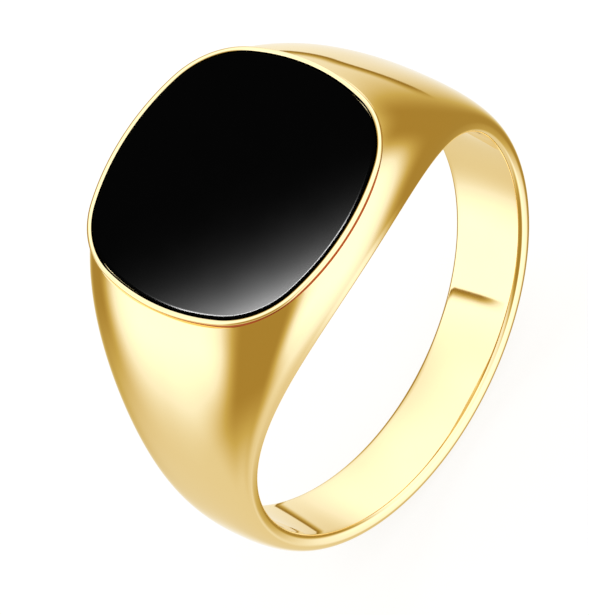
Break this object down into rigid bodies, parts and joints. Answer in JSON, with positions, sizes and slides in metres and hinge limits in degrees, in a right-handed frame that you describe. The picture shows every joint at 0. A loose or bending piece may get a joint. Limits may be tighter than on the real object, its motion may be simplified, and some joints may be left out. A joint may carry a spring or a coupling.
{
  "type": "signet ring",
  "caption": "Polished yellow-gold signet ring with a tapering round-backed band and a cushion-shaped flat black inlay in a narrow bezel collar.",
  "frame": {"origin": "centre of the finger hole, half way along the band", "axes": "+Y along the finger, +Z from the finger hole through the middle of the head, +X across the finger"},
  "size_m": [0.0214, 0.013, 0.0228],
  "materials": {
    "polished_gold": "mirror-polished gold plating",
    "collar_gold": "mirror-polished gold plating",
    "bond_adhesive": "cured clear-amber adhesive",
    "black_stone": "glossy polished black"
  },
  "bodies": {
    "root": {"ring_body": "polished_gold", "bezel_collar": "collar_gold", "inlay_bond": "bond_adhesive", "black_inlay": "black_stone"}
  },
  "joints": []
}
